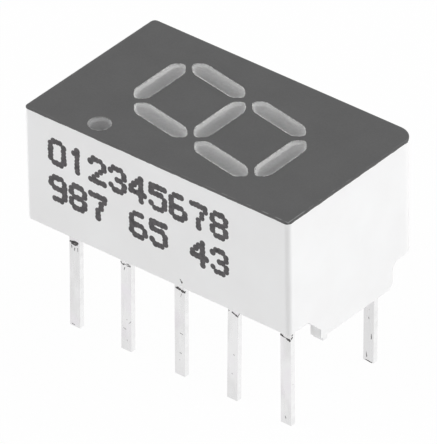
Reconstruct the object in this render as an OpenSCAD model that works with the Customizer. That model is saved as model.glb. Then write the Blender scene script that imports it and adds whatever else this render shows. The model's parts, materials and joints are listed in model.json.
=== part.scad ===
// Seven segment display: one slanted digit and its decimal point, on ten pins in two rows.
// +Z is up and +X runs to the top of the digit. The origin is the middle of the plane of the pin tips.

/* [Housing] */
// Length of the housing, along the rows of pins
body_l = 12.7; // [12.5:0.1:15]
// Width of the housing, across the rows of pins
body_w = 7.62; // [7.6:0.02:9]
// Height of the walls, from their lower edge to the face
wall_h = 5; // [4.8:0.1:6]
// Height of the face above the soles of the feet
seat_h = 6.1; // [6.1:0.1:7]
// Thickness of the two long walls
side_wall = 0.6; // [0.4:0.05:0.6]
// Thickness of the two end walls, and of the feet that stand on them
end_wall = 0.5; // [0.3:0.05:0.6]
// Radius of three of the upright corners
corner_r = 0.2; // [0.15:0.05:0.4]
// Radius of the corner beside pin 1, which tells the ends apart
pin_one_r = 0.8; // [0.5:0.05:1]
// Width of a foot
foot_w = 4.28; // [3:0.02:4.4]
// Centre of a foot, from the middle of the end wall
foot_y = 0.17; // [-0.2:0.01:0.2]
// Slope that braces a foot on its right side, as much across as down
foot_brace = 0.7; // [0.1:0.05:0.9]
// Radius of a foot's left corner, and of the fillet above it
foot_r = 0.35; // [0.1:0.05:0.5]
// Thickness of the coat on the face, whose outer edge is rounded to the same radius
coat_t = 0.05; // [0.04:0.01:0.12]

/* [Digit] */
// Height of the digit
digit_h = 7.62; // [7:0.02:7.8]
// Width of the digit, before it is slanted
digit_w = 4.2; // [4.1:0.02:4.5]
// Lean of the digit from upright, in degrees
digit_lean = 10.3; // [5:0.1:12]
// Width of a segment
stroke_w = 0.8; // [0.7:0.02:0.9]
// Length of a segment between its two points
segment_l = 3.02; // [2.4:0.02:3.04]
// Diameter of the decimal point
dot_d = 0.91; // [0.9:0.01:1]
// Rim of white plastic left bare between the edge of a window and its well
window_rim = 0.03; // [0.01:0.01:0.03]
// Centre of the digit, from the middle of the face
digit_at = [-0.02, 0]; // [-0.2:0.01:0.2]
// Centre of the decimal point, from the middle of the face
dot_at = [-3.35, -2.98]; // [-3.5:0.01:-2.85]

/* [Leads] */
// Distance between pins in a row
pin_pitch = 2.54; // [2.5:0.01:2.56]
// Shift of the leads towards the top of the digit
lead_shift = 0.06; // [0:0.01:0.1]
// Distance between the two rows
row_gap = 5.08; // [5:0.02:5.2]
// Length of a pin below the feet
pin_l = 4; // [2.5:0.05:6]
// Width of a pin
pin_w = 0.5; // [0.4:0.02:0.56]
// Thickness of the sheet that the leads are stamped from
lead_t = 0.25; // [0.2:0.01:0.3]
// Inner radius of the bend at the root of a pin
bend_r = 0.15; // [0.1:0.01:0.2]

/* [Chips and wires] */
// Side of a chip
die_w = 0.26; // [0.2:0.01:0.28]
// Height of a chip
die_h = 0.22; // [0.15:0.01:0.3]
// Distance from a chip to the landing of its wire
bond_l = 0.72; // [0.68:0.01:0.76]
// Diameter of a bond wire
wire_d = 0.03; // [0.02:0.005:0.04]

/* [Hidden] */
$fn = 64;

// Heights, counted from the pin tips
face_z = pin_l + seat_h;
shell_z = face_z - coat_t;
wall_z = face_z - wall_h;
well_h = 3.62;
frame_z = shell_z - well_h;
resin_recess = 0.15;
window_recess = 0.02;
overlap = 0.1;
cup_r = 0.3;

// The digit is laid out upright, u to its right and v to its top, and then leant over
u_step = (digit_w - stroke_w) / 2;
v_step = (digit_h - stroke_w) / 2;
lean = tan(digit_lean);

// Each segment: its letter, its pin, its centre, its direction and the side of its wire's landing
across = [1, 0];
upward = [0, 1];
SEGMENTS = [
    ["a", 10, [0, v_step], across, 1],
    ["b", 9, [u_step, v_step / 2], upward, 1],
    ["c", 8, [u_step, -v_step / 2], upward, 1],
    ["d", 5, [0, -v_step], across, -1],
    ["e", 4, [-u_step, -v_step / 2], upward, -1],
    ["f", 2, [-u_step, v_step / 2], upward, 1],
    ["g", 3, [0, 0], across, -1],
];

// Length and width of a well's foot, as shares of its window's
well_foot_l = 0.52;
well_foot_w = 0.66;
dot_foot_d = 0.84;

// How far from its point a corner of a window or a well starts to turn, as a share of the width
turn_share = 0.25;

// The common lead's strip along the middle, and the fingers out to the decimal point
dot_bond_l = 0.48;
finger_w = 0.3;
finger_y = -2.04;

// Ball and stitch at the ends of a bond wire
ball_d = 0.08;
ball_h = 0.03;
stitch_h = 0.02;
loop_h = 0.24;
wire_steps = 8;
wire_sides = 6;

function plan(p) = [digit_at[0] + p[1], digit_at[1] - p[0] - lean * p[1]];
function mix(a, b, t) = a + (b - a) * t;
function unit(v) = v / norm(v);

// A closed outline with each corner drawn as a small curve, which starts reach before its point
function softened(pts, reach) = [
    for (i = [0 : len(pts) - 1])
        let (before = pts[(i + len(pts) - 1) % len(pts)], after = pts[(i + 1) % len(pts)])
        let (from = pts[i] + reach * unit(before - pts[i]))
        let (to = pts[i] + reach * unit(after - pts[i]))
        for (t = [0 : 1 / 3 : 1]) mix(mix(from, pts[i], t), mix(pts[i], to, t), t)
];

// Outline of a segment l long and w wide
function segment_outline(s, l, w) =
    let (along = s[3], side = [-along[1], along[0]], flat = (l - w) / 2)
    let (six = [[-l / 2, 0], [-flat, -w / 2], [flat, -w / 2], [l / 2, 0], [flat, w / 2], [-flat, w / 2]])
    [for (p = softened(six, turn_share * w)) plan(s[2] + p[0] * along + p[1] * side)];

function window_outline(s) = segment_outline(s, segment_l, stroke_w);
function mouth_of_well(s) =
    segment_outline(s, segment_l - 2 * sqrt(2) * window_rim, stroke_w - 2 * window_rim);
function foot_of_well(s) = segment_outline(s, well_foot_l * segment_l, well_foot_w * stroke_w);

// Chip and landing of a segment
function die_at(s) = plan(s[2] - s[4] * bond_l / 2 * s[3]);
function landing_at(s) = plan(s[2] + s[4] * bond_l / 2 * s[3]);
dot_die = dot_at - [dot_bond_l / 2, 0];
dot_landing = dot_at + [dot_bond_l / 2, 0];

// Pins 1 to 5 run down the left of the digit, and 6 to 10 back up its right
function pin_side(n) = n <= 5 ? 1 : -1;
function pin_x(n) = lead_shift + pin_pitch * (n <= 5 ? 3 - n : n - 8);
bend_y = row_gap / 2 - lead_t / 2 - bend_r;
spine_y = (die_at(SEGMENTS[0])[1] + die_at(SEGMENTS[6])[1]) / 2;

// Upright corners of the housing: which side of each axis they are on, and their radius
CORNERS = [[1, 1, pin_one_r], [-1, 1, corner_r], [-1, -1, corner_r], [1, -1, corner_r]];

// Carries what is drawn at the +X +Y corner of the housing to any of its corners
module at_corner(c) {
    mirror([c[0] < 0 ? 1 : 0, 0, 0])
        mirror([0, c[1] < 0 ? 1 : 0, 0])
            translate([body_l / 2 - c[2], body_w / 2 - c[2], 0])
                children();
}

module body_outline() {
    difference() {
        square([body_l, body_w], center = true);
        for (c = CORNERS)
            at_corner(c)
                difference() {
                    square(c[2] + overlap);
                    circle(c[2]);
                }
    }
}

// The space inside the walls, behind the wells
module cup_outline() {
    l = body_l - 2 * end_wall;
    w = body_w - 2 * side_wall;
    square([l - 2 * cup_r, w], center = true);
    square([l, w - 2 * cup_r], center = true);
    for (x = [-1, 1], y = [-1, 1])
        translate([x * (l / 2 - cup_r), y * (w / 2 - cup_r)])
            circle(cup_r);
}

// Foot seen from the end, with its root on the wall's lower edge
module foot_outline() {
    drop = seat_h - wall_h;
    right = foot_y - foot_w / 2;
    left = foot_y + foot_w / 2;
    polygon([
        [right - foot_brace, overlap], [right - foot_brace, 0], [right, -foot_brace], [right, -drop],
        [left - foot_r, -drop], [left - foot_r, foot_r - drop], [left, foot_r - drop], [left, overlap],
    ]);
    translate([left - foot_r, foot_r - drop])
        circle(foot_r);
    translate([left, -foot_r])
        difference() {
            square([foot_r, foot_r + overlap]);
            translate([foot_r, 0])
                circle(foot_r);
        }
}

module foot() {
    translate([body_l / 2 - end_wall, 0, wall_z])
        rotate([90, 0, 90])
            linear_extrude(end_wall)
                foot_outline();
}

// The tapered wells, from the plane of the leads up to their mouths under the coat
module wells() {
    for (s = SEGMENTS) {
        lower = foot_of_well(s);
        upper = mouth_of_well(s);
        n = len(lower);
        polyhedron(
            points = concat(
                [for (p = lower) [p[0], p[1], frame_z]],
                [for (p = upper) [p[0], p[1], shell_z]]
            ),
            faces = concat(
                [[for (i = [0 : n - 1]) i]],
                [[for (i = [n - 1 : -1 : 0]) n + i]],
                [for (i = [0 : n - 1]) [i, n + i, n + (i + 1) % n, (i + 1) % n]]
            )
        );
    }
    translate([dot_at[0], dot_at[1], frame_z])
        cylinder(h = well_h, d1 = dot_foot_d, d2 = dot_d - 2 * window_rim);
}

// The openings over the wells, as a flat outline
module windows() {
    for (s = SEGMENTS)
        polygon(window_outline(s));
    translate(dot_at)
        circle(d = dot_d);
}

module reflector_housing() {
    color("whitesmoke")
        difference() {
            union() {
                translate([0, 0, wall_z])
                    linear_extrude(shell_z - wall_z)
                        body_outline();
                for (turn = [0, 1])
                    mirror([turn, 0, 0])
                        foot();
            }
            translate([0, 0, wall_z - overlap])
                linear_extrude(frame_z - wall_z + overlap)
                    cup_outline();
            wells();
        }
}

// What the rounding takes off the coat's outer edge, reach away from its axis
module edge_nick(reach) {
    translate([reach - coat_t, shell_z])
        difference() {
            square(coat_t + overlap);
            circle(coat_t);
        }
}

module face_coat() {
    color("dimgray")
        difference() {
            translate([0, 0, shell_z])
                linear_extrude(coat_t)
                    body_outline();
            translate([0, 0, shell_z - overlap])
                linear_extrude(coat_t + 2 * overlap)
                    windows();
            for (turn = [0, 180]) {
                rotate([90, 0, turn])
                    linear_extrude(body_w, center = true)
                        edge_nick(body_l / 2);
                rotate([90, 0, turn + 90])
                    linear_extrude(body_l, center = true)
                        edge_nick(body_w / 2);
            }
            for (c = CORNERS)
                at_corner(c)
                    rotate_extrude(angle = 90)
                        edge_nick(c[2]);
        }
}

// The resin before the leads, chips and wires are taken out of it
module resin_space() {
    translate([0, 0, wall_z + resin_recess])
        linear_extrude(frame_z - wall_z - resin_recess)
            cup_outline();
    wells();
    translate([0, 0, shell_z])
        linear_extrude(coat_t - window_recess)
            windows();
}

module epoxy_cast() {
    color("silver")
        difference() {
            resin_space();
            lead_common();
            lead_dp();
            for (s = SEGMENTS) {
                segment_lead(s);
                die(die_at(s));
                bond_wire(die_at(s), landing_at(s));
            }
            die(dot_die);
            bond_wire(dot_die, dot_landing);
        }
}

// A block seen from the side, with its far upper corner rounded
module rounded_block(low, high, r) {
    difference() {
        translate(low)
            square(high - low);
        translate(high - [r, r])
            difference() {
                square(r + overlap);
                circle(r);
            }
    }
}

// A pin, the bend at its root and the lead behind it, straight in to a strip of width w along y_end
module pin(n, y_end, w = pin_w) {
    reach = pin_side(n) * y_end - w / 2;
    mirror([0, pin_side(n) < 0 ? 1 : 0, 0])
        translate([pin_x(n), 0, 0])
            rotate([90, 0, 90])
                linear_extrude(pin_w, center = true)
                    difference() {
                        rounded_block(
                            [reach, 0],
                            [row_gap / 2 + lead_t / 2, frame_z],
                            bend_r + lead_t
                        );
                        rounded_block(
                            [reach - overlap, -overlap],
                            [row_gap / 2 - lead_t / 2, frame_z - lead_t],
                            bend_r
                        );
                    }
}

// The flat blank of the leads lies in the plane of the frame
module blank() {
    translate([0, 0, frame_z - lead_t])
        linear_extrude(lead_t)
            children();
}

// A strip between two points on a line along X or Y, which stops at the bends unless it may pass them
module strip(a, b, w = pin_w, y_limit = bend_y) {
    x_low = min(a[0], b[0]) - w / 2;
    x_high = max(a[0], b[0]) + w / 2;
    y_low = max(min(a[1], b[1]) - w / 2, -y_limit);
    y_high = min(max(a[1], b[1]) + w / 2, y_limit);
    polygon([[x_low, y_low], [x_high, y_low], [x_high, y_high], [x_low, y_high]]);
}

// The dot's own strip, and the common lead's finger beside it, run out between two pins
module dot_finger(n, end) {
    strip([pin_x(n), finger_y], [end[0], finger_y], finger_w);
    strip([end[0], finger_y], end, finger_w, body_w);
}

module lead_common() {
    color("gainsboro") {
        pin(1, spine_y);
        pin(6, spine_y);
        blank() {
            strip([pin_x(1), spine_y], [pin_x(6), spine_y]);
            for (s = SEGMENTS)
                strip([die_at(s)[0], spine_y], die_at(s));
            dot_finger(6, dot_die);
        }
    }
}

module segment_lead(s) {
    landing = landing_at(s);
    color("gainsboro") {
        pin(s[1], landing[1]);
        blank()
            strip([pin_x(s[1]), landing[1]], landing);
    }
}

module lead_dp() {
    color("gainsboro") {
        pin(7, finger_y, finger_w);
        blank()
            dot_finger(7, dot_landing);
    }
}

module die(at) {
    color("gold")
        translate([at[0] - die_w / 2, at[1] - die_w / 2, frame_z])
            cube([die_w, die_w, die_h]);
}

// A cubic curve through its end points, and its direction
function curve(c, t) =
    let (p = mix(c[0], c[1], t), q = mix(c[1], c[2], t), r = mix(c[2], c[3], t))
    mix(mix(p, q, t), mix(q, r, t), t);
function heading(c, t) = unit(mix(mix(c[1] - c[0], c[2] - c[1], t), mix(c[2] - c[1], c[3] - c[2], t), t));

// The wire rises from a ball on the chip and comes down on a stitch at its landing
module bond_wire(from, to) {
    top = frame_z + die_h;
    start = [from[0], from[1], top + ball_h / 2];
    end = [to[0], to[1], frame_z + stitch_h];
    c = [start, start + [0, 0, loop_h], mix(start, end, 0.4) + [0, 0, loop_h], end];
    side = unit(cross(end - start, [0, 0, 1]));
    n = wire_sides;
    color("goldenrod") {
        translate([from[0], from[1], top])
            cylinder(h = ball_h, d = ball_d);
        translate([to[0], to[1], frame_z])
            cylinder(h = stitch_h, d = ball_d);
        polyhedron(
            points = [
                for (i = [0 : wire_steps], k = [0 : n - 1])
                    let (t = i / wire_steps, rise = cross(side, heading(c, t)))
                    curve(c, t) + wire_d / 2 * (cos(360 * k / n) * side + sin(360 * k / n) * rise)
            ],
            faces = concat(
                [[for (k = [n - 1 : -1 : 0]) k]],
                [[for (k = [0 : n - 1]) wire_steps * n + k]],
                [
                    for (i = [0 : wire_steps - 1], k = [0 : n - 1])
                        let (here = i * n + k, beside = i * n + (k + 1) % n)
                        each [[here, beside + n, here + n], [here, beside, beside + n]]
                ]
            )
        );
    }
}

reflector_housing();
face_coat();
epoxy_cast();
lead_common();
lead_dp();
die(dot_die);  // die_dp
bond_wire(dot_die, dot_landing);  // bond_wire_dp
for (s = SEGMENTS) {
    segment_lead(s);
    die(die_at(s));
    bond_wire(die_at(s), landing_at(s));
}
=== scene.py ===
import json
import math
import random
import bmesh
import bpy
from mathutils import Matrix, Vector, noise


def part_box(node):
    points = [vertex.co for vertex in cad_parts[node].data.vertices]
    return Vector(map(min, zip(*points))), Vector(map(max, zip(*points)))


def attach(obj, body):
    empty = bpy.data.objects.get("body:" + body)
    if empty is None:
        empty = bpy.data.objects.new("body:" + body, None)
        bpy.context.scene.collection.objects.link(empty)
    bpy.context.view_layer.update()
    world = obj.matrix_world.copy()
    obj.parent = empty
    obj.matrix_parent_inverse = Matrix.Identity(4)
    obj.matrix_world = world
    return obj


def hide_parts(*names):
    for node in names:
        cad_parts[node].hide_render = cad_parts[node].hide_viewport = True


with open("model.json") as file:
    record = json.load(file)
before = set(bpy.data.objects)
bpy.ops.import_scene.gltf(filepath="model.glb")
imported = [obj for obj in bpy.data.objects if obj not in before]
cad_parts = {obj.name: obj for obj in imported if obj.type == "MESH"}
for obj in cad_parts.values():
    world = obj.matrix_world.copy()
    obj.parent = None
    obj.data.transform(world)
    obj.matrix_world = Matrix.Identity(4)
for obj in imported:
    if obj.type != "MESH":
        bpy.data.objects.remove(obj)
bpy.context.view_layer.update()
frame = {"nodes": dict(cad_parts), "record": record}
mm = 0.001
nodes = frame["nodes"]
slotOf = {part["node"]: part["material_slot"] for part in frame["record"]["subparts"]}
housingLow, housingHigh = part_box("reflector_housing")
coatLow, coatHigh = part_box("face_coat")
# the dot's chip and its wire lie on both sides of the dot's middle
chipLow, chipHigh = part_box("die_dp")
wireLow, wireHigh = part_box("bond_wire_dp")
dotEnds = min(chipLow.x, wireLow.x), max(chipHigh.x, wireHigh.x)
dotMiddle = Vector((sum(dotEnds) / 2, (chipLow.y + chipHigh.y) / 2, 0))
print("frame loaded,", len(nodes), "CAD nodes")

cameraSetup = {
    "azimuth": 39.845,  # degrees, 0 looks along +Y
    "elevation": 34.144,
    "roll": -0.874,
    "distance": 347.93 * mm,
    "lens": 753.42,
    "clip": (0.01, 10),
    "aimHeight": 5.5057 * mm,  # height of the point on the object's axis that the camera aims at
    "aimSide": -0.1202 * mm,
}


def awayFrom(azimuth, elevation):
    az, el = math.radians(azimuth), math.radians(elevation)
    return Vector((math.sin(az) * math.cos(el), -math.cos(az) * math.cos(el), math.sin(el)))


def addCamera(setup):
    az, roll = math.radians(setup["azimuth"]), math.radians(setup["roll"])
    back = awayFrom(setup["azimuth"], setup["elevation"])
    right = Vector((math.cos(az), math.sin(az), 0))
    up = back.cross(right)
    rightRolled = math.cos(roll) * right + math.sin(roll) * up
    upRolled = math.cos(roll) * up - math.sin(roll) * right
    aim = Vector((0, 0, setup["aimHeight"])) + setup["aimSide"] * rightRolled
    data = bpy.data.cameras.new("camera")
    data.lens = setup["lens"]
    data.clip_start, data.clip_end = setup["clip"]
    camera = bpy.data.objects.new("camera", data)
    bpy.context.scene.collection.objects.link(camera)
    axes = Matrix((rightRolled, upRolled, back)).transposed()
    camera.matrix_world = Matrix.Translation(aim + setup["distance"] * back) @ axes.to_4x4()
    bpy.context.scene.camera = camera


addCamera(cameraSetup)

lightSetup = {
    "sky": 0.355,  # level of the sky that lights the object; it looks pure white itself
    "floorSize": 3,
    "floorColor": 0.9,
    "floorRoughness": 0.9,
    "floorGloss": 0.1,
    "floorGlow": 0.975,  # share of the floor that is white backdrop, the rest takes the shadow
    "lamps": {
        "right": {"azimuth": 118, "elevation": 20, "distance": 0.5, "size": 0.6, "power": 2.64},
        "left": {"azimuth": -55, "elevation": 20, "distance": 0.5, "size": 0.6, "power": 2.39},
    },
}


def newMaterial(name):
    material = bpy.data.materials.new(name)
    material.use_nodes = True
    tree = material.node_tree
    shader = next(n for n in tree.nodes if n.type == "BSDF_PRINCIPLED")
    return material, tree, shader


def backdropRays(tree):
    path = tree.nodes.new("ShaderNodeLightPath")
    seen = path.outputs["Is Camera Ray"]
    for kind in ("Is Glossy Ray", "Is Transmission Ray"):
        either = tree.nodes.new("ShaderNodeMath")
        either.operation = "MAXIMUM"
        tree.links.new(seen, either.inputs[0])
        tree.links.new(path.outputs[kind], either.inputs[1])
        seen = either.outputs[0]
    return seen


def addWorld(setup):
    world = bpy.data.worlds.new("studio")
    bpy.context.scene.world = world
    world.use_nodes = True
    tree = world.node_tree
    tree.nodes.clear()
    out = tree.nodes.new("ShaderNodeOutputWorld")
    mix = tree.nodes.new("ShaderNodeMixShader")
    lit = tree.nodes.new("ShaderNodeBackground")
    seen = tree.nodes.new("ShaderNodeBackground")
    for background, strength in ((lit, setup["sky"]), (seen, 1)):
        background.inputs["Color"].default_value = (1, 1, 1, 1)
        background.inputs["Strength"].default_value = strength
    tree.links.new(backdropRays(tree), mix.inputs[0])
    tree.links.new(lit.outputs[0], mix.inputs[1])
    tree.links.new(seen.outputs[0], mix.inputs[2])
    tree.links.new(mix.outputs[0], out.inputs["Surface"])


def addFloor(setup):
    bm = bmesh.new()
    bmesh.ops.create_grid(bm, x_segments=1, y_segments=1, size=setup["floorSize"])
    mesh = bpy.data.meshes.new("floor")
    bm.to_mesh(mesh)
    bm.free()
    floor = bpy.data.objects.new("floor", mesh)
    bpy.context.scene.collection.objects.link(floor)
    material, tree, shader = newMaterial("floor_white")
    color = setup["floorColor"]
    shader.inputs["Base Color"].default_value = (color, color, color, 1)
    shader.inputs["Roughness"].default_value = setup["floorRoughness"]
    shader.inputs["Specular IOR Level"].default_value = setup["floorGloss"]
    glow = tree.nodes.new("ShaderNodeEmission")
    glow.inputs["Strength"].default_value = 1
    mix = tree.nodes.new("ShaderNodeMixShader")
    share = tree.nodes.new("ShaderNodeMath")
    share.operation = "MULTIPLY"
    share.inputs[1].default_value = setup["floorGlow"]
    out = next(n for n in tree.nodes if n.type == "OUTPUT_MATERIAL")
    tree.links.new(backdropRays(tree), share.inputs[0])
    tree.links.new(share.outputs[0], mix.inputs[0])
    tree.links.new(shader.outputs[0], mix.inputs[1])
    tree.links.new(glow.outputs[0], mix.inputs[2])
    tree.links.new(mix.outputs[0], out.inputs["Surface"])
    floor.data.materials.append(material)


def addLamp(name, setup):
    away = awayFrom(setup["azimuth"], setup["elevation"])
    data = bpy.data.lights.new(name, "AREA")
    data.shape = "SQUARE"
    data.size = setup["size"]
    data.energy = setup["power"]
    lamp = bpy.data.objects.new(name, data)
    lamp.location = setup["distance"] * away
    lamp.rotation_euler = away.to_track_quat("Z", "Y").to_euler()
    bpy.context.scene.collection.objects.link(lamp)


addWorld(lightSetup)
addFloor(lightSetup)
for lampName, lampSetup in lightSetup["lamps"].items():
    addLamp(lampName, lampSetup)
bpy.context.scene.view_settings.view_transform = "Standard"
print("camera, floor and lights are up")


def objectPlace(tree, stretch=(1, 1, 1)):
    place = tree.nodes.new("ShaderNodeTexCoord").outputs["Object"]
    if stretch != (1, 1, 1):
        mapping = tree.nodes.new("ShaderNodeMapping")
        mapping.inputs["Scale"].default_value = stretch
        tree.links.new(place, mapping.inputs["Vector"])
        place = mapping.outputs[0]
    return place


def splitPlace(tree):
    place = tree.nodes.new("ShaderNodeSeparateXYZ")
    tree.links.new(objectPlace(tree), place.inputs[0])
    return place.outputs


def addNoise(tree, size, detail=2, stretch=(1, 1, 1)):
    texture = tree.nodes.new("ShaderNodeTexNoise")
    texture.inputs["Scale"].default_value = 1 / size
    texture.inputs["Detail"].default_value = detail
    tree.links.new(objectPlace(tree, stretch), texture.inputs["Vector"])
    return texture.outputs[0]


def addRamp(tree, value, stops):
    ramp = tree.nodes.new("ShaderNodeValToRGB")
    points = ramp.color_ramp.elements
    while len(points) < len(stops):
        points.new(0.5)
    for point, (position, color) in zip(points, stops):
        point.position = position
        point.color = color
    tree.links.new(value, ramp.inputs[0])
    return ramp.outputs[0]


def addMath(tree, operation, first, second=0.0):
    node = tree.nodes.new("ShaderNodeMath")
    node.operation = operation
    for socket, value in zip(node.inputs, (first, second)):
        if isinstance(value, (int, float)):
            socket.default_value = value
        else:
            tree.links.new(value, socket)
    return node.outputs[0]


def addBand(tree, value, low, high, toLow=0.0, toHigh=1.0):
    band = tree.nodes.new("ShaderNodeMapRange")
    ends = {"From Min": low, "From Max": high, "To Min": toLow, "To Max": toHigh}
    for name, number in ends.items():
        band.inputs[name].default_value = number
    tree.links.new(value, band.inputs["Value"])
    return band.outputs[0]


def mixColor(tree, share, first, second, blend="MIX"):
    mix = tree.nodes.new("ShaderNodeMix")
    mix.data_type = "RGBA"
    mix.blend_type = blend
    for socket, value in ((mix.inputs[0], share), (mix.inputs[6], first), (mix.inputs[7], second)):
        if isinstance(value, (int, float, tuple)):
            socket.default_value = value
        else:
            tree.links.new(value, socket)
    return mix.outputs[2]


def addSpots(tree, size, radius, share, stretch=(1, 1, 1)):
    cells = tree.nodes.new("ShaderNodeTexVoronoi")
    cells.inputs["Scale"].default_value = 1 / size
    tree.links.new(objectPlace(tree, stretch), cells.inputs["Vector"])
    chosen = tree.nodes.new("ShaderNodeSeparateColor")
    tree.links.new(cells.outputs["Color"], chosen.inputs[0])
    near = addBand(tree, cells.outputs["Distance"], radius, 0.6 * radius)
    picked = addMath(tree, "LESS_THAN", chosen.outputs[0], share)
    return addMath(tree, "MULTIPLY", near, picked)


def addBump(tree, shader, height, strength, distance):
    bump = tree.nodes.new("ShaderNodeBump")
    bump.inputs["Strength"].default_value = strength
    bump.inputs["Distance"].default_value = distance
    tree.links.new(height, bump.inputs["Height"])
    tree.links.new(bump.outputs[0], shader.inputs["Normal"])


# the two tones of a finish, in clouds
def addCloud(tree, finish, first, second, detail=3, start=0.35, end=0.65):
    cloud = addNoise(tree, finish["cloudSize"], detail)
    return addRamp(tree, cloud, [(start, finish[first]), (end, finish[second])])


# fine grain in the gloss and in the surface
def addGrain(tree, shader, finish, detail=3, stretch=(1, 1, 1)):
    grain = addNoise(tree, finish["grain"], detail, stretch)
    tree.links.new(addBand(tree, grain, 0.3, 0.7, *finish["roughness"]), shader.inputs["Roughness"])
    addBump(tree, shader, grain, finish["bump"], finish["depth"])


plasticFinish = {
    "color": (0.877, 0.879, 0.882, 1),
    "shade": (0.855, 0.853, 0.855, 1),  # where the moulding is a touch darker
    "feet": (0.985, 0.985, 0.985, 1),  # painted light: the feet, except at their ends, are lightened to stand in for floor light that the body shades off
    "feetHeight": 5.15 * mm,
    "feetInset": 0.03 * mm,
    "cloudSize": 2.2 * mm,
    "roughness": (0.38, 0.5),
    "grain": 0.12 * mm,
    "bump": 0.12,
    "depth": 0.01 * mm,
}


def housingPlastic(finish):
    material, tree, shader = newMaterial("housing_plastic")
    color = addCloud(tree, finish, "shade", "color")
    place = splitPlace(tree)
    end = housingHigh.x - finish["feetInset"]
    fromMiddle = addMath(tree, "ABSOLUTE", place["X"])
    inside = addBand(tree, fromMiddle, end, end - finish["feetInset"])
    low = addBand(tree, place["Z"], finish["feetHeight"], 0.9 * finish["feetHeight"])
    # painted light: below feetHeight and inside the ends, the plastic is lightened where the body's
    # shade falls on the feet
    color = mixColor(tree, addMath(tree, "MULTIPLY", inside, low), color, finish["feet"])
    tree.links.new(color, shader.inputs["Base Color"])
    addGrain(tree, shader, finish)
    return material


coatFinish = {
    "color": (0.078, 0.078, 0.0785, 1),
    "shade": (0.07, 0.07, 0.0705, 1),
    "paintedEdgeHighlight": (0.26, 0.26, 0.26, 1),  # painted highlight: broken light line just inside the outline, where the rounded edge catches the lamps
    "edgeHighlightBand": (0.035 * mm, 0.07 * mm, 0.11 * mm),
    "edgeHighlightFrom": (1.6 * mm, 4 * mm, 1, 0.15),  # the painted highlight fades away from one corner
    "brokenSize": 0.5 * mm,
    "broken": (0.44, 0.56),
    "cloudSize": 1.4 * mm,
    "roughness": (0.5, 0.62),
    "grain": 0.06 * mm,
    "bump": 0.15,
    "depth": 0.006 * mm,
}


def addDistance(tree, point):
    apart = tree.nodes.new("ShaderNodeVectorMath")
    apart.operation = "DISTANCE"
    tree.links.new(objectPlace(tree, (1, 1, 0)), apart.inputs[0])
    apart.inputs[1].default_value = point
    return apart.outputs["Value"]


# distance inwards from the face's outline
def addInset(tree, half):
    place = splitPlace(tree)
    along = addMath(tree, "SUBTRACT", half.x, addMath(tree, "ABSOLUTE", place["X"]))
    across = addMath(tree, "SUBTRACT", half.y, addMath(tree, "ABSOLUTE", place["Y"]))
    return addMath(tree, "MINIMUM", along, across)


def faceCoat(finish):
    material, tree, shader = newMaterial("face_coat")
    color = addCloud(tree, finish, "shade", "color", 4)
    inset = addInset(tree, coatHigh)
    start, middle, end = finish["edgeHighlightBand"]
    outer, inner = addBand(tree, inset, start, middle), addBand(tree, inset, end, middle)
    line = addMath(tree, "MINIMUM", outer, inner)
    broken = addBand(tree, addNoise(tree, finish["brokenSize"], 4), *finish["broken"])
    fromCorner = addDistance(tree, (coatHigh.x, coatLow.y, 0))
    broken = addMath(tree, "MULTIPLY", broken, addBand(tree, fromCorner, *finish["edgeHighlightFrom"]))
    # painted highlight along the rounded outer edge, broken by noise and strongest near one corner
    color = mixColor(tree, addMath(tree, "MULTIPLY", line, broken), color, finish["paintedEdgeHighlight"])
    tree.links.new(color, shader.inputs["Base Color"])
    addGrain(tree, shader, finish)
    return material


resinFinish = {
    "color": (1, 1, 0.997, 1),
    "cloudy": (0.88, 0.877, 0.872, 1),
    "dotShade": (0.62, 0.62, 0.63, 1),  # painted shade: the resin in the dot's well is darkened
    "clear": 0.9,  # share of the light that goes through
    "roughness": 0.28,
    "refraction": 1.5,
    "cloudSize": 0.16 * mm,
    "ripple": 0.13 * mm,
    "bump": 0.6,
    "depth": 0.02 * mm,
}
dotReach = 0.6 * mm


def addInDot(tree):
    return addBand(tree, addDistance(tree, dotMiddle), dotReach, 0.8 * dotReach)


def diffusingResin(finish):
    material, tree, shader = newMaterial("diffusing_resin")
    color = addCloud(tree, finish, "cloudy", "color")
    # painted shade in the dot's well
    color = mixColor(tree, addInDot(tree), color, finish["dotShade"], "MULTIPLY")
    tree.links.new(color, shader.inputs["Base Color"])
    shader.inputs["Transmission Weight"].default_value = finish["clear"]
    shader.inputs["Roughness"].default_value = finish["roughness"]
    shader.inputs["IOR"].default_value = finish["refraction"]
    addBump(tree, shader, addNoise(tree, finish["ripple"], 4), finish["bump"], finish["depth"])
    return material


leadFinish = {
    "bright": (0.828, 0.828, 0.833, 1),
    "dull": (0.75, 0.748, 0.752, 1),
    "shearedAndLit": (0.92, 0.92, 0.922, 1),  # the sheared edges of the stamping, lighter also as painted light on the sides that face the lamps
    "rosy": (0.985, 0.96, 0.985, 1),
    "plain": (1, 0.998, 0.995, 1),
    # painted shade of small dents
    "dentShade": (0.4, 0.37, 0.38, 1),
    "roughness": (0.25, 0.34),
    "tipDarker": (0, 0.9 * mm, 0.35, 0),  # from height, to height, share there
    "backShade": (-1 * mm, 2 * mm, 0, 0.85),  # the same, from place to place along Y; painted shade on the back row under the body
    "cloudSize": 0.6 * mm,
    "cloudStretch": (1, 1, 0.35),
    "tintSize": 1.1 * mm,
    "shearedAndLitFacing": 0.7,  # a face that looks along X more than this is a sheared one, painted lighter as a lit side
    "wornAndLitSize": 0.3 * mm,
    "wornAndLit": (0.35, 0.6, 0.6, 1),
    "dentSize": 0.42 * mm,
    "dentRadius": 0.1,
    "dentShare": 0.25,
    "dentStretch": (1, 1, 1.8),
    "dentDepth": 0.7,
    "grain": 0.1 * mm,
    "drawn": (1, 1, 0.06),  # the grain runs along the pins
    "bump": 0.12,
    "depth": 0.006 * mm,
}


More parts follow.
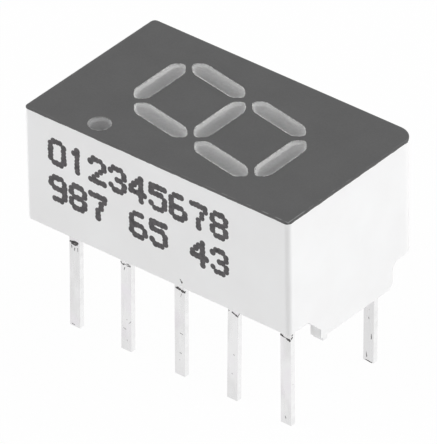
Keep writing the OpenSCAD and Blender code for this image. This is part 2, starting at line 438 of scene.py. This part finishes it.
def tinnedLead(finish):
    material, tree, shader = newMaterial("tinned_lead")
    cloud = addNoise(tree, finish["cloudSize"], 3, finish["cloudStretch"])
    color = addRamp(tree, cloud, [(0.35, finish["dull"]), (0.6, finish["bright"])])
    tint = addNoise(tree, finish["tintSize"], 1)
    tint = addRamp(tree, tint, [(0.35, finish["rosy"]), (0.5, finish["plain"])])
    color = mixColor(tree, 1, color, tint, "MULTIPLY")
    place = splitPlace(tree)
    # darker towards the tips
    tip = addBand(tree, place["Z"], *finish["tipDarker"])
    # painted shade: the back row of pins, under the body, is darker
    back = addBand(tree, place["Y"], *finish["backShade"])
    color = mixColor(tree, addMath(tree, "MAXIMUM", tip, back), color, finish["dull"])
    geometry = tree.nodes.new("ShaderNodeNewGeometry")
    facing = tree.nodes.new("ShaderNodeSeparateXYZ")
    tree.links.new(geometry.outputs["Normal"], facing.inputs[0])
    # partly real and partly painted light: faces along X are lighter, as sheared edges and as lit
    # sides, in patches
    sideways = addMath(tree, "ABSOLUTE", facing.outputs["X"])
    shearedAndLit = addMath(tree, "GREATER_THAN", sideways, finish["shearedAndLitFacing"])
    wornAndLit = addBand(tree, addNoise(tree, finish["wornAndLitSize"], 3), *finish["wornAndLit"])
    color = mixColor(tree, addMath(tree, "MULTIPLY", shearedAndLit, wornAndLit), color, finish["shearedAndLit"])
    # painted shade: small dents are drawn as dark spots, with no hollow in the surface
    dentShades = addSpots(
        tree, finish["dentSize"], finish["dentRadius"], finish["dentShare"], finish["dentStretch"]
    )
    dentShades = addMath(tree, "MULTIPLY", dentShades, finish["dentDepth"])
    color = mixColor(tree, dentShades, color, finish["dentShade"])
    tree.links.new(color, shader.inputs["Base Color"])
    shader.inputs["Metallic"].default_value = 1
    addGrain(tree, shader, finish, 2, finish["drawn"])
    return material


chipFinish = {
    "color": (0.35, 0.2, 0.1, 1),
    "shade": (0.2, 0.12, 0.06, 1),
    "cloudSize": 0.05 * mm,
    "roughness": 0.25,
    "metallic": 0,
}
goldFinish = {
    "color": (0.95, 0.7, 0.32, 1),
    "shade": (0.8, 0.55, 0.22, 1),
    "cloudSize": 0.03 * mm,
    "roughness": 0.25,
    "metallic": 1,
}


def smallPiece(name, finish):
    material, tree, shader = newMaterial(name)
    color = addCloud(tree, finish, "shade", "color", 2, 0.4, 0.6)
    tree.links.new(color, shader.inputs["Base Color"])
    shader.inputs["Metallic"].default_value = finish["metallic"]
    shader.inputs["Roughness"].default_value = finish["roughness"]
    return material


inkFinish = {
    "color": (0.05, 0.047, 0.05, 1),
    "thin": (0.085, 0.078, 0.082, 1),
    "cloudSize": 0.15 * mm,
    "roughness": 0.55,
}


# ink, dirt and painted shadow: dark, and paler where they lie thin
def thinLayer(name, finish):
    material, tree, shader = newMaterial(name)
    color = addCloud(tree, finish, "thin", "color", end=0.6)
    tree.links.new(color, shader.inputs["Base Color"])
    shader.inputs["Roughness"].default_value = finish["roughness"]
    return material


made = {
    "housing_plastic": housingPlastic(plasticFinish),
    "face_ink": faceCoat(coatFinish),
    "diffusing_resin": diffusingResin(resinFinish),
    "tinned_lead": tinnedLead(leadFinish),
    "chip": smallPiece("chip", chipFinish),
    "bond_gold": smallPiece("bond_gold", goldFinish),
}
for name, piece in nodes.items():
    piece.data.materials.clear()
    piece.data.materials.append(made[slotOf[name]])
print("finishes are on the CAD nodes")


def finishPiece(bm, name, material):
    mesh = bpy.data.meshes.new(name)
    bm.to_mesh(mesh)
    bm.free()
    mesh.materials.append(material)
    piece = bpy.data.objects.new(name, mesh)
    bpy.context.scene.collection.objects.link(piece)
    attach(piece, "root")
    return piece


resinSetup = {
    "weld": 0.0005 * mm,
    "swell": 0.006 * mm,  # reach into what it is cast around, so that no two faces share a place
}


def makeResin(setup):
    bm = bmesh.new()
    bm.from_mesh(nodes["epoxy_cast"].data)
    bmesh.ops.remove_doubles(bm, verts=bm.verts, dist=setup["weld"])
    bm.normal_update()
    for corner in bm.verts:
        corner.co += setup["swell"] * corner.normal
    resin = finishPiece(bm, "diffusing_resin", made["diffusing_resin"])
    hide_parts("epoxy_cast")


makeResin(resinSetup)
print("resin is cast")

rimFinish = {
    "pale": (0.72, 0.72, 0.71, 1),
    "smoky": (0.38, 0.38, 0.38, 1),
    # painted shade: the rim round the dot is darkened like the resin
    "dotShade": (0.55, 0.55, 0.55, 1),
    "cloudSize": 0.16 * mm,
    "roughness": 0.35,
}


def bareRim(finish):
    material, tree, shader = newMaterial("bare_rim")
    color = addCloud(tree, finish, "smoky", "pale", 3, 0.38, 0.62)
    # painted shade round the dot's well
    color = mixColor(tree, addInDot(tree), color, finish["dotShade"], "MULTIPLY")
    tree.links.new(color, shader.inputs["Base Color"])
    shader.inputs["Roughness"].default_value = finish["roughness"]
    return material


coatSetup = {
    "level": 0.001 * mm,  # a corner this near to a height is on it
    "merge": 0.0001 * mm,
}
windowSetup = {
    "step": 0.025 * mm,  # spacing of the points round a window
    "inside": 0.93,  # windows lie inside this share of the half length and half width
    "narrowest": 0.004 * mm,  # a row that wanders still reaches this far inwards
    "waveSize": 0.07 * mm,
    "rim": {
        # a row for each corner of the section: reach inwards, height above the coat, share of shift
        "rows": (
            (-0.005 * mm, 0, 0), (0.004 * mm, 0.011 * mm, 0), (0.024 * mm, 0.004 * mm, 1),
            (0.022 * mm, -0.008 * mm, 1), (-0.003 * mm, -0.012 * mm, 0),
        ),
        "shift": Vector((-0.014, -0.005, 0)) * mm,  # the coat was printed this far off the wells
        "wander": 0.018 * mm,
    },
    "ledge": {
        "rows": (
            (0.004 * mm, -0.002 * mm, 0), (0.01 * mm, -0.05 * mm, 0), (0.04 * mm, -0.085 * mm, 0.6),
            (0.08 * mm, -0.18 * mm, 1), (0.06 * mm, -0.21 * mm, 1), (-0.015 * mm, -0.075 * mm, 0),
        ),
        "shift": Vector((-0.06, 0.012, 0)) * mm,
        "wander": 0.012 * mm,
    },
}


# keeps the coat's edges at one height where a lying face meets a standing one
def coatLoops(bm, height, fits, step):
    bm.from_mesh(nodes["face_coat"].data)
    bmesh.ops.remove_doubles(bm, verts=bm.verts, dist=resinSetup["weld"])
    bm.normal_update()

    def onLine(corner):
        share = max(abs(corner.co.x) / coatHigh.x, abs(corner.co.y) / coatHigh.y)
        return abs(corner.co.z - height) < coatSetup["level"] and fits(share)

    def isLoop(edge):
        lying = sorted(abs(face.normal.z) > 0.5 for face in edge.link_faces)
        return all(onLine(v) for v in edge.verts) and lying == [False, True]

    bmesh.ops.delete(bm, geom=[e for e in bm.edges if not isLoop(e)], context="EDGES")
    for edge in list(bm.edges):
        cuts = int(edge.calc_length() / step)
        if cuts:
            bmesh.ops.subdivide_edges(bm, edges=[edge], cuts=cuts)
    outward = {}
    waiting = set(bm.verts)
    while waiting:
        ring = [waiting.pop()]
        for corner in ring:
            for other in (edge.other_vert(corner) for edge in corner.link_edges):
                if other in waiting:
                    waiting.discard(other)
                    ring.append(other)
        middle = sum((corner.co for corner in ring), Vector()) / len(ring)
        for corner in ring:
            before, after = (edge.other_vert(corner).co for edge in corner.link_edges)
            side = (after - before).cross(Vector((0, 0, 1))).normalized()
            outward[corner] = side if side.dot(corner.co - middle) > 0 else -side
    return outward


# runs a closed section round every loop: its last row lands on the first and is merged with it
def sweepRows(bm, outward, rows, place):
    sideAt = {tuple(corner.co): side for corner, side in outward.items()}
    lines = [list(outward)]
    edges = list(bm.edges)
    for _ in rows:
        grown = bmesh.ops.extrude_edge_only(bm, edges=edges)["geom"]
        edges = [e for e in grown if isinstance(e, bmesh.types.BMEdge)]
        lines.append([v for v in grown if isinstance(v, bmesh.types.BMVert)])
    turns = list(enumerate(rows))
    for line, (index, row) in zip(lines, turns + turns[:1]):
        for corner in line:
            corner.co += place(index, row, corner.co.copy(), sideAt[tuple(corner.co)])
    bmesh.ops.remove_doubles(bm, verts=bm.verts, dist=coatSetup["merge"])
    bmesh.ops.recalc_face_normals(bm, faces=bm.faces)
    # the extrusion makes its faces in another order in each run, so they are put in order
    inOrder = sorted(bm.faces, key=lambda face: tuple(face.calc_center_median()))
    for index, face in enumerate(inOrder):
        face.index = index
    bm.faces.sort()


def makeRing(name, setup, material):
    ring = setup[name]
    bm = bmesh.new()
    outward = coatLoops(bm, coatHigh.z, lambda share: share < setup["inside"], setup["step"])

    def place(index, row, point, side):
        reach, rise, share = row
        wave = noise.noise(point / setup["waveSize"] + Vector((3 * index, 0, 0)))
        reached = reach + share * ring["shift"].dot(side) + ring["wander"] * wave
        if share:
            reached = max(reached, setup["narrowest"])
        return Vector((0, 0, rise)) - reached * side

    sweepRows(bm, outward, ring["rows"], place)
    return finishPiece(bm, "window_" + name, material)


makeRing("rim", windowSetup, bareRim(rimFinish))
makeRing("ledge", windowSetup, made["housing_plastic"])
print("bare rims are round the windows")

pinSetup = {
    "first": -5.02 * mm,  # middle of the first pin in each row, along X
    "pitch": 2.54 * mm,
    "width": 0.5 * mm,
    "thickness": 0.25 * mm,
    "held": 5.7 * mm,  # above this height a pin isn't bent
    "root": 4.6 * mm,
    "cuts": (5.7 * mm, 4.6 * mm, 2.3 * mm),
    "flat": 1,  # degrees, below which two faces are one
    "softEdge": 0.02 * mm,
    "softSegments": 2,
    "softAngle": 40,
    # millimetres that each pin is bent aside along X, at its root and at its tip
    "front": ((0.015, -0.07), (0, -0.083), (0.063, 0.005), (0.11, -0.005), (0.07, 0.05)),
    "back": ((0.02, -0.04), (-0.02, 0.03), (0, -0.05), (0.01, 0.04), (0, -0.08)),
}


def bendAt(setup, place):
    column = round((place.x - setup["first"]) / setup["pitch"])
    root, tip = (bend * mm for bend in setup["front" if place.y < 0 else "back"][column])
    if place.z > setup["root"]:
        return root * max(0.0, (setup["held"] - place.z) / (setup["held"] - setup["root"]))
    return tip + (root - tip) * place.z / setup["root"]


def bendLead(name, setup):
    bm = bmesh.new()
    bm.from_mesh(nodes[name].data)
    bmesh.ops.remove_doubles(bm, verts=bm.verts, dist=resinSetup["weld"])
    flat = math.radians(setup["flat"])
    bmesh.ops.dissolve_limit(bm, angle_limit=flat, verts=bm.verts, edges=bm.edges)
    for height in setup["cuts"]:
        everything = list(bm.verts) + list(bm.edges) + list(bm.faces)
        bmesh.ops.bisect_plane(bm, geom=everything, plane_co=(0, 0, height), plane_no=(0, 0, 1))
    for corner in bm.verts:
        if corner.co.z < setup["held"]:
            corner.co.x += bendAt(setup, corner.co)
    piece = finishPiece(bm, "bent_" + name, made["tinned_lead"])
    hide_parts(name)
    soft = piece.modifiers.new("soft_edge", "BEVEL")
    soft.width = setup["softEdge"]
    soft.segments = setup["softSegments"]
    soft.limit_method = "ANGLE"
    soft.angle_limit = math.radians(setup["softAngle"])


for name in [name for name in nodes if name.startswith("lead_")]:
    bendLead(name, pinSetup)
print("leads are bent a little")

lipSetup = {
    "step": 0.05 * mm,  # spacing of the points along the edge
    "outer": 0.93,  # the outline lies beyond this share of the half length or half width
    # a row for each corner of the section: reach outwards, height, share of the drop
    "rows": (
        (0.005 * mm, 0.02 * mm, 0), (0.005 * mm, 0, 1),
        (-0.004 * mm, 0, 1), (-0.004 * mm, 0.02 * mm, 0),
    ),
    "drop": 0.012 * mm,  # how far it runs down the walls
    "wave": 0.016 * mm,
    "waveSizes": (0.35 * mm, 0.12 * mm),  # the second wave is half as high
    "run": 0.04 * mm,  # depth of a drip
    "runSize": 0.5 * mm,
    "runLevels": (0.42, 0.3),  # where a drip starts, and how much further to its full depth
}


def makeLip(setup):
    bm = bmesh.new()
    outward = coatLoops(bm, coatLow.z, lambda share: share > setup["outer"], setup["step"])

    def place(index, row, point, side):
        reach, rise, share = row
        wide, narrow = (noise.noise(point / size) for size in setup["waveSizes"])
        start, further = setup["runLevels"]
        drip = max(0.0, noise.noise(point / setup["runSize"] + Vector((5, 3, 1))) - start) / further
        drop = setup["drop"] + setup["wave"] * (wide + 0.5 * narrow) + setup["run"] * min(drip, 1)
        return Vector((0, 0, rise - share * drop)) + reach * side

    sweepRows(bm, outward, setup["rows"], place)
    finishPiece(bm, "coat_lip", made["face_ink"])


makeLip(lipSetup)
print("the coat's edge is drawn over the walls")

digitDots = {
    "0": (".###.", "#...#", "#...#", "#...#", "#...#", "#...#", ".###."),
    "1": ("..#..", ".##..", "..#..", "..#..", "..#..", "..#..", "..#.."),
    "2": (".###.", "#...#", "....#", "...#.", "..#..", ".#...", "#####"),
    "3": (".###.", "#...#", "....#", "..##.", "....#", "#...#", ".###."),
    "4": ("...#.", "..##.", ".#.#.", "#..#.", "#####", "...#.", "...#."),
    "5": ("#####", "#....", "####.", "....#", "....#", "#...#", ".###."),
    "6": (".###.", "#....", "#....", "####.", "#...#", "#...#", ".###."),
    "7": ("#####", "....#", "...#.", "...#.", "..#..", "..#..", "..#.."),
    "8": (".###.", "#...#", "#...#", ".###.", "#...#", "#...#", ".###."),
    "9": (".###.", "#...#", "#...#", ".####", "....#", "....#", ".###."),
}
markSetup = {
    "seed": 7,
    "lines": ("012345678", "987 65 43"),
    "left": -5.08 * mm,  # centre of the first dot
    "drop": (0.98 * mm, 2.6 * mm),  # centre of each line's top dots, below the top of the face
    "pitch": 0.975 * mm,
    "dotPitch": 0.16 * mm,
    "dotRadius": 0.15 * mm,
    "stray": 0.012 * mm,
    "sizes": (0.9, 1.08),
    "depths": (0.85, 1),
    "sunk": 0.004 * mm,
    "proud": 0.008 * mm,
    "sides": 12,
    "taper": 0.8,
}


def addDot(bm, middle, radius, depth, sides, axis="X"):
    turn = Matrix.Rotation(math.radians(90), 4, axis)
    bmesh.ops.create_cone(
        bm, cap_ends=True, segments=sides, radius1=radius, radius2=markSetup["taper"] * radius,
        depth=depth, matrix=Matrix.Translation(middle) @ turn,
    )


def makeMarks(setup):
    draw = random.Random(setup["seed"])
    bm = bmesh.new()
    depth = setup["sunk"] + setup["proud"]
    y = housingLow.y - setup["proud"] + depth / 2
    for line, drop in zip(setup["lines"], setup["drop"]):
        for column, sign in enumerate(line):
            for row, dots in enumerate(digitDots.get(sign, ())):
                for place, dot in enumerate(dots):
                    if dot != "#":
                        continue
                    x = setup["left"] + column * setup["pitch"] + place * setup["dotPitch"]
                    z = coatHigh.z - drop - row * setup["dotPitch"]
                    aside, down = (draw.uniform(-1, 1) * setup["stray"] for _ in range(2))
                    radius = setup["dotRadius"] * draw.uniform(*setup["sizes"])
                    middle = Vector((x + aside, y, z + down))
                    thickness = depth * draw.uniform(*setup["depths"])
                    addDot(bm, middle, radius, thickness, setup["sides"])
    finishPiece(bm, "side_marks", thinLayer("marking_ink", inkFinish))


makeMarks(markSetup)
print("side marks are printed")

# painted shadow and dirt: dark flecks on the pins and the wall
shadowAndDirtFinish = {
    "color": (0.02, 0.018, 0.019, 1),
    "thin": (0.11, 0.1, 0.1, 1),
    "cloudSize": 0.08 * mm,
    "roughness": 0.6,
}
shadowAndDirtSetup = {
    "seed": 11,
    "thickness": 0.012 * mm,
    "sunk": 0.004 * mm,
    "spacing": 0.45,  # of a fleck's radius
    "stray": 0.6,  # of a fleck's radius
    "sizes": (0.35, 1.2),
    "depths": (0.7, 1),
    "sides": 7,
    # runs of flecks, in millimetres: distance along the face from its middle, height, radius
    # the runs just under the housing's edge, about 3.5 to 4.1 mm high, are a painted shadow line;
    # the small scattered flecks lower down and on the wall are dirt
    "front": (
        (
            ((-0.2, 3.86, 0.035), (-0.06, 3.87, 0.06), (0.1, 3.91, 0.06), (0.2, 3.93, 0.05)),
            ((-0.12, 3.8, 0.04), (0.02, 3.78, 0.04), (0.15, 3.83, 0.035)),
            ((-0.13, 3.72, 0.014), (-0.12, 3.6, 0.01)),
            ((0.02, 3.64, 0.016), (0.01, 3.52, 0.008)),
            ((0.16, 3.68, 0.01), (0.17, 3.52, 0.006)),
            ((-0.15, 0.1, 0.008), (0.0, 0.07, 0.007)),
        ),
        (
            ((-0.24, 4.0, 0.022), (-0.2, 3.93, 0.02)),
            ((-0.17, 3.92, 0.018), (-0.1, 3.93, 0.034), (-0.02, 3.94, 0.022)),
            ((0.02, 3.98, 0.01), (0.1, 4.0, 0.014), (0.2, 3.98, 0.012)),
            ((0.04, 3.91, 0.012), (0.13, 3.93, 0.022), (0.22, 3.94, 0.016)),
            ((-0.05, 3.8, 0.014), (-0.08, 3.68, 0.01)),
            ((0.14, 1.28, 0.004), (0.24, 1.42, 0.007)),
            ((-0.12, 1.0, 0.005), (0.0, 0.96, 0.004)),
            ((0.04, 0.5, 0.005), (0.05, 0.46, 0.005)),
        ),
        (
            ((-0.17, 3.97, 0.035), (-0.02, 3.96, 0.05), (0.12, 3.92, 0.045), (0.22, 3.9, 0.05)),
            ((0.1, 3.78, 0.006), (0.06, 3.62, 0.005)),
            ((0.02, 1.95, 0.005), (0.16, 1.92, 0.004)),
            ((0.0, 1.05, 0.004), (0.1, 1.02, 0.004)),
        ),
        (
            ((-0.2, 4.0, 0.016), (-0.16, 4.02, 0.01)),
            ((-0.04, 3.98, 0.042), (0.08, 3.96, 0.026), (0.21, 3.9, 0.042)),
            ((0.05, 2.1, 0.007), (0.1, 2.06, 0.007)),
            ((-0.02, 1.2, 0.006), (0.02, 1.16, 0.006)),
        ),
        (
            ((-0.2, 3.98, 0.05), (-0.12, 3.95, 0.045), (-0.02, 3.94, 0.018)),
            ((0.04, 3.93, 0.035), (0.13, 3.91, 0.05), (0.23, 3.89, 0.055)),
            ((-0.03, 0.36, 0.007), (0.01, 0.26, 0.008)),
        ),
    ),
    "side": (
        (),
        (),
        (((-0.11, 3.86, 0.018), (-0.06, 3.92, 0.012)),),
        (((-0.1, 3.94, 0.02), (-0.02, 4.0, 0.014)),),
        (((-0.1, 3.92, 0.034), (-0.02, 4.0, 0.024)), ((-0.05, 4.08, 0.02), (0.02, 4.1, 0.014))),
    ),
    "farPin": (
        ((0.14, 1.32, 0.01), (0.14, 1.1, 0.018)),
        ((-0.1, 0.42, 0.008), (-0.07, 0.2, 0.015)),
        ((-0.12, 0.05, 0.01), (0.03, 0.03, 0.018), (0.18, 0.02, 0.02)),
        ((0.0, 2.05, 0.01), (0.02, 1.98, 0.01)),
    ),
    "wall": ((1.21, 5.32, 0.045), (1.18, 5.38, 0.016), (1.12, 5.45, 0.014)),
}


# lays a painted shadow line under the housing's edge, and flecks of dirt, on the leads
def makeShadowAndDirt(setup):
    draw = random.Random(setup["seed"])
    bm = bmesh.new()
    pinLow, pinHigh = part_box("lead_a")[0].y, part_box("lead_d")[1].y
    out = setup["thickness"] / 2 - setup["sunk"]
    shift = pinSetup["first"] + 2 * pinSetup["pitch"]  # the rows' middle

    def lay(run, place, axis="X", bent=True):
        for first, second in zip(run, run[1:]):
            spacing = setup["spacing"] * (first[2] + second[2]) / 2
            steps = max(1, round(math.dist(first[:2], second[:2]) / spacing))
            for step in range(steps + 1):
                share = step / steps
                along, height, radius = (a + share * (b - a) for a, b in zip(first, second))
                along += draw.uniform(-1, 1) * setup["stray"] * radius
                height += draw.uniform(-1, 1) * setup["stray"] * radius
                middle = place(along * mm, height * mm)
                if bent:
                    middle.x += bendAt(pinSetup, middle)
                size = radius * mm * draw.uniform(*setup["sizes"])
                thickness = setup["thickness"] * draw.uniform(*setup["depths"])
                addDot(bm, middle, size, thickness, setup["sides"], axis)

    for index in range(5):
        x = pinSetup["first"] + index * pinSetup["pitch"]
        edge = x + pinSetup["width"] / 2 + out
        flank = pinLow + pinSetup["thickness"] / 2
        for run in setup["front"][index]:
            lay(run, lambda along, z: Vector((x + along, pinLow - out, z)))
            lay(run, lambda along, z: Vector((-x + 2 * shift - along, pinHigh + out, z)))
        for run in setup["side"][index]:
            lay(run, lambda along, z: Vector((edge, flank + along, z)), "Y")
    for run in setup["farPin"]:
        lay(run, lambda along, z: Vector((x + along, pinHigh - pinSetup["thickness"] - out, z)))
    lay(setup["wall"], lambda along, z: Vector((along, housingLow.y - out, z)), bent=False)
    finishPiece(bm, "lead_shadow_and_dirt", thinLayer("painted_shadow_and_dirt", shadowAndDirtFinish))


makeShadowAndDirt(shadowAndDirtSetup)
print("flecks of residue are on the leads")
